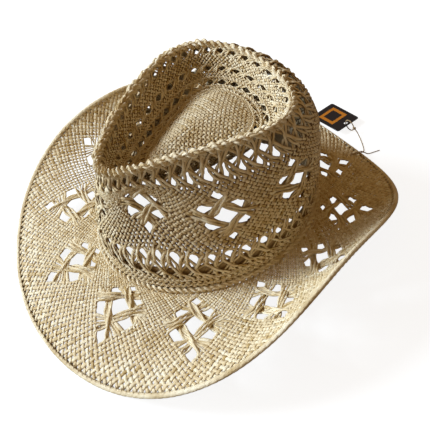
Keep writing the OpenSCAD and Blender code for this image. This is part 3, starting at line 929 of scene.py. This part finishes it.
def dome_height(xy):
    """The crown top's height over a point, and how far in it lies from the groove to the dome's middle.

    Both come from the straight line from the dome's middle to the groove, where the top is a cubic.
    """
    ring = np.linspace(0, TURN, 721)
    edge = groove(ring)
    from_dome = edge[:, :2] - DOME[:2]
    heading = np.unwrap(np.arctan2(from_dome[:, 1], from_dome[:, 0]))
    off = xy - DOME[:2]
    want = (np.arctan2(off[..., 1], off[..., 0]) - heading[0]) % TURN + heading[0]
    edge_r = np.interp(want, heading, np.linalg.norm(from_dome, axis=1))
    edge_z = np.interp(want, heading, edge[:, 2])
    u = np.linspace(0, 1, 101)
    inward = 0.75 * (1 - u) ** 2 * u + 1.2 * (1 - u) * u * u + u ** 3
    share = np.clip(1 - np.linalg.norm(off, axis=-1) / edge_r, 0, 1)
    at = np.interp(share, inward, u)
    rise = 3 * (1 - at) * at * at + at ** 3
    return edge_z + (DOME[2] - edge_z) * rise, share


def dome_normal(xy):
    """The dome's unit normal over a point, from its height a little to each side."""
    e = 0.3
    gx = dome_height(xy + (e, 0))[0] - dome_height(xy - (e, 0))[0]
    gy = dome_height(xy + (0, e))[0] - dome_height(xy - (0, e))[0]
    return unit(point(-gx / (2 * e), -gy / (2 * e), 1 + 0 * gx))


def dome_weave(name, across):
    """One set of the dome's plain weave: straight flat strands that pass over and under the other set.

    Each is cut off where it leaves the dome, and laid out again with the same number of stations.
    """
    span, other_span = (DOME_REACH_X, DOME_REACH_Y) if across else (DOME_REACH_Y, DOME_REACH_X)
    lanes = np.arange(-other_span, other_span, DOME_PITCH) + DOME_PITCH / 2
    at = np.arange(-span, span, DOME_PITCH / 3)
    lane, run = np.meshgrid(lanes, at, indexing="ij")
    lane = lane + 0.18 * wander(rng, *lane.shape, 9)
    xy = np.stack([run, lane] if across else [lane, run], -1) + DOME[:2]
    z, share = dome_height(xy)
    number = np.arange(len(lanes))[:, None] + run / DOME_PITCH
    wave = (1 if across else -1) * DOME_WAVE * np.cos(np.pi * number)
    up = dome_normal(xy)
    line = np.concatenate([xy, z[..., None]], -1)
    line = line + (wave + 0.1 * wander(rng, *wave.shape, 5))[..., None] * up
    width = DOME_STRAND_W * (1 + 0.1 * wander(rng, *wave.shape, 7))
    sections = strands(line, up, width, 0 * width + DOME_STRAND_T)
    # a fourth coordinate carries each corner's painted shade, darker where a strand dives under the other
    # set
    sections = np.concatenate([sections, crevice_shade_of(2 * wave, 1 + 0 * wave)[..., None]], -1)
    whole = []
    for strand, on_dome in zip(sections, share > DOME_EDGE):
        inside = np.flatnonzero(on_dome)
        if len(inside) > 8:
            station = np.linspace(inside[0], inside[-1], 72)
            low = station.astype(int).clip(0, len(at) - 2)
            part = (station - low)[:, None, None]
            whole.append(strand[low] + (strand[low + 1] - strand[low]) * part)
    made = np.stack(whole)
    tubes(f"dome_straw_{name}", set_down(made[..., :3]), STRAW, stands_for=["crown_tip"],
          tuck=made[..., 3])


dome_weave("across", True)
dome_weave("along", False)


# ---- twined ridges and the foot's cord ----
FOOT_ROWS = (0.055, 0.10)    # places of the two twined rows above the foot's cord


def closed_along(line):
    """The heading of a closed line at each of its points."""
    return unit(np.roll(line, -1, 0) - np.roll(line, 1, 0))


def twined_ring(name, node, line, side, top, radius, turns, straw_n=4):
    """A ring of straw plies round the hat; with no node it is more than the CAD has, and replaces none."""
    made = set_down(straw_plies(line, side, top, radius, turns, straw_n))
    return tubes(name, made, CORD_STRAW, closed=True, stands_for=[node] if node else ())


def surface_ring(name, node, surface, a, t, lift, radius, turns):
    """A thin twined ring that lies on a surface at one place of its run, lifted off it that much."""
    at = np.full(len(a), t)
    up = upward(surface, a, at)
    line = surface(a, at) + lift * up
    side = np.cross(up, closed_along(line))
    twined_ring(name, node, line, side, up, np.full(len(a), radius), turns, 2)


def rim_ridge(a):
    """The lumpy ridge on the rim, thinner at the back: its radius is a sum of short waves."""
    line = rim(a) + (0, 0, 0.4)
    along = closed_along(line)
    side = unit(np.cross(UP, along))
    radius = 1.5 * RIM_TWINE_R * (1 - 0.20 * smooth(behind(a), 0.55, 0.95))
    lumps = 1.04 + 0.10 * np.sin(13 * a + 1) + 0.10 * np.sin(31 * a) + 0.07 * np.sin(57 * a + 2)
    twined_ring("rim_twined_ridge", "rim_twine", line, side, np.cross(along, side), radius * lumps, 38)


def foot_ring(a):
    """The cord in the corner between the wall and the brim."""
    line = foot(a) + (WEAVE_T / 2 + FOOT_CORD_R - 0.3) * (outward(a) + UP)
    twined_ring("foot_two_ply_cord", "foot_cord", line, outward(a),
                np.cross(closed_along(line), outward(a)), np.full(len(a), float(FOOT_CORD_R)), 56)


def make_twines():
    """Every twined ring of the crown."""
    a = np.linspace(0, TURN, 720, endpoint=False)
    rim_ridge(a)
    foot_ring(a)
    for k, (t, node) in enumerate(zip(TIP_RINGS, ("tip_twine_outer", "tip_twine_middle",
                                                  "tip_twine_inner"))):
        surface_ring(f"tip_twined_ring_{k + 1}", node, tip, a, t, 0.5 * WEAVE_T, TIP_TWINE_R, 60 - 8 * k)
    for k, t in enumerate(FOOT_ROWS):
        surface_ring(f"foot_twined_row_{k + 1}", None, wall, a, t, 0.9, 1.1, 84)


make_twines()


# ---- brim edge ----
EDGE_WRAP_N = 204                      # slanted dips round the rolled edge, with a stitch in each
EDGE_T, EDGE_SQUASH = 0.85, 0.78       # its wall, and its height over its width
EDGE_SEAM_IN = 1.7                     # its stitches are this far inside its middle line


def edge_frame(a):
    """The brim's edge, the heading out of it and the heading up from it."""
    one = np.ones_like(a)
    return brim(a, one), unit(brim(a, one) - brim(a, 0.99 * one)), upward(brim, a, one)


def rolled_edge():
    """The edge: straw folded round the wire, its section an open C with a slanted dip at each wrap."""
    a = np.linspace(0, TURN, 10 * EDGE_WRAP_N, endpoint=False)
    middle, out, up = edge_frame(a)
    swing = np.radians(np.linspace(-145, 145, 13))
    outside = np.repeat([True, False], len(swing))
    radii = np.where(outside, HEM_R, HEM_R - EDGE_T)
    swing = np.concatenate([swing, swing[::-1]])
    slant = np.abs(np.cos(0.5 * (EDGE_WRAP_N * a[:, None] + 1.3 * swing))) ** 7
    radii = radii * (1.02 - 0.08 * slant * outside + 0.025 * wander(rng, 1, len(a), 6).T)
    turned = (np.cos(swing)[:, None] * out[:, None]
              - EDGE_SQUASH * np.sin(swing)[:, None] * up[:, None])
    made = middle[:, None] + radii[..., None] * turned
    tubes("brim_rolled_edge", set_down(made)[None], HEM_STRAW, closed=True,
          stands_for=["brim_hem"])


def stitches(name, start, heading, up, length, radius, node):
    """Short stitches: each a thin tube with pinched ends that dips at both by its own radius."""
    share = np.linspace(-1, 1, 6)
    line = (start[:, None] + 0.5 * length * share[:, None] * heading[:, None]
            - radius * (share ** 4)[:, None] * up[:, None])
    side, top = frames(line, np.broadcast_to(up[:, None], line.shape))
    fat = radius * np.sqrt(1 - 0.75 * share ** 4)
    made = round_section(line, side, top, np.broadcast_to(fat, line.shape[:2]), 6)
    tubes(name, set_down(made), THREAD, stands_for=[node])


def edge_stitches():
    """A row of slanted stitches that hold the rolled edge, one in every dip, above and below."""
    a = np.arange(EDGE_WRAP_N) * TURN / EDGE_WRAP_N + 0.003 * rng.uniform(-1, 1, EDGE_WRAP_N)
    middle, out, up = edge_frame(a)
    along = unit(brim(a + 0.01, np.ones_like(a)) - brim(a - 0.01, np.ones_like(a)))
    heading = unit(out * 0.85 + along * 0.6)
    for name, face in (("edge_stitches", up), ("edge_stitches_under", -up)):
        start = middle - out * EDGE_SEAM_IN + face * (EDGE_SQUASH * HEM_R - 0.15)
        stitches(name, start, heading, face, 4.0, 0.32, "hem_stitching")


rolled_edge()
edge_stitches()


# ---- lining ----
def lining(a, z, depth):
    """A point inside the wall, at a height above the foot and a depth in from the straw's middle.

    Up to the sweatband's top the wall's height is nearly a fixed share of its place, which gives t.
    """
    t = z / (1.14 * CROWN_H)
    return wall(a, t) - depth[..., None] * upward(wall, a, np.maximum(t, 0.02))


BAND_OUT = WEAVE_T / 2 + BAND_GAP
BAND_IN = BAND_OUT + BAND_T
BAND_SEAM, BAND_STITCH_N = 5.0, 150    # the seam's height above the foot, and its stitches


def lining_piece(name, angles, low, high, out, inner, material, node, closed=False):
    """A lining strip: a section with round edges, carried round the inside of the crown."""
    half = (inner - out) / 2
    turn = np.radians(np.linspace(90, -90, 7))
    rise = np.linspace(low + half, high - half, 9)
    flat = np.ones(len(rise))
    z = np.concatenate([rise, high - half + half * np.cos(turn),
                        rise[::-1], low + half - half * np.cos(turn)])
    depth = np.concatenate([out * flat, (out + inner) / 2 - half * np.sin(turn),
                            inner * flat, (out + inner) / 2 + half * np.sin(turn)])
    a, z = np.meshgrid(angles, z, indexing="ij")
    made = lining(a, z, np.broadcast_to(depth, a.shape))
    return tubes(name, set_down(made)[None], material, closed=closed, stands_for=[node])


def make_lining():
    """The sweatband, the tape over its join, the label on it and its seam."""
    a = np.linspace(0, TURN, 360, endpoint=False)
    lining_piece("sweatband_tape_ring", a, 1, BAND_H, BAND_OUT, BAND_IN, LINING,
                 "sweatband", closed=True)
    half = np.radians(5)
    lining_piece("sweatband_join_tape", np.linspace(np.pi - half, np.pi + half, 20), 8, BAND_H - 1,
                 BAND_IN - 0.05, BAND_IN + 0.75, LINING, "sweatband_tape")
    half = LABEL_W / (FOOT_L / 2) / 2
    at = np.radians(LABEL_AT)
    lining_piece("woven_size_label", np.linspace(at - half, at + half, 32), 8, BAND_H - 4,
                 BAND_IN - 0.05, BAND_IN + 0.55, LABEL, "size_label")
    a = np.arange(BAND_STITCH_N) * TURN / BAND_STITCH_N
    seam, depth = np.full(len(a), BAND_SEAM), np.full(len(a), BAND_IN + 0.1)
    start = lining(a, seam, depth)
    heading = unit(lining(a + 0.01, seam, depth) - start)
    stitches("sweatband_stitches", start, heading, -outward(a), 2.6, 0.35, "sweatband_stitching")


def make_steel():
    """The wire and its crimp stay as the frame has them, and get their finish."""
    for node_name in ("brim_wire", "wire_sleeve"):
        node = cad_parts[node_name]
        node.data.materials.clear()
        node.data.materials.append(STEEL)


make_lining()
make_steel()


# ---- light and floor ----
def soft_key(name, heading, spread, strength, colour):
    """A broad far light that shines from that heading, its disc that many degrees wide."""
    data = bpy.data.lights.new(name, "SUN")
    data.angle, data.energy, data.color = np.radians(spread), strength, colour
    light = bpy.data.objects.new(name, data)
    bpy.context.scene.collection.objects.link(light)
    light.rotation_mode = "QUATERNION"
    light.rotation_quaternion = Vector(heading).to_track_quat("Z", "Y")


def make_stage():
    """A pale floor whose glow only camera rays see, and a warm sky that is white for camera rays."""
    material, tree, surface = new_material("studio floor")
    place = add(tree, "ShaderNodeTexCoord").outputs["Object"]
    grain = add(tree, "ShaderNodeTexNoise", [("Vector", place)], Scale=40.0).outputs["Fac"]
    tree.links.new(ramp(tree, grain, (0.0, (0.25, 0.25, 0.25)), (1.0, (0.27, 0.27, 0.27))),
                   surface.inputs["Base Color"])
    surface.inputs["Roughness"].default_value = 0.9
    surface.inputs["Emission Color"].default_value = (1, 1, 1, 1)
    seen = add(tree, "ShaderNodeLightPath").outputs["Is Camera Ray"]
    glow = add(tree, "ShaderNodeMath", [(0, seen)], operation="MULTIPLY")
    glow.inputs[1].default_value = 0.88
    tree.links.new(glow.outputs[0], surface.inputs["Emission Strength"])
    mesh = bpy.data.meshes.new("floor")
    mesh.from_pydata([(-4, -4, 0), (4, -4, 0), (4, 4, 0), (-4, 4, 0)], [], [(0, 1, 2, 3)])
    mesh.materials.append(material)
    floor = bpy.data.objects.new("floor", mesh)
    bpy.context.scene.collection.objects.link(floor)
    world = bpy.data.worlds.new("studio")
    bpy.context.scene.world = world
    world.use_nodes = True
    tree = world.node_tree
    warm = tree.nodes["Background"]
    warm.inputs["Color"].default_value = (1, 0.63, 0.26, 1)
    warm.inputs["Strength"].default_value = 0.25
    pale = add(tree, "ShaderNodeBackground", Color=(1, 1, 1, 1), Strength=1.0)
    seen = add(tree, "ShaderNodeLightPath").outputs["Is Camera Ray"]
    both = add(tree, "ShaderNodeMixShader", [(0, seen), (1, warm.outputs[0]), (2, pale.outputs[0])])
    tree.links.new(both.outputs[0], tree.nodes["World Output"].inputs["Surface"])


soft_key("key", (-0.60, -0.58, 0.60), 22, 3.9, (0.74, 0.86, 1.0))
soft_key("fill", (-0.45, -0.82, 0.34), 40, 1.25, (0.70, 0.86, 1.0))
make_stage()
bpy.context.scene.view_settings.view_transform = "Standard"
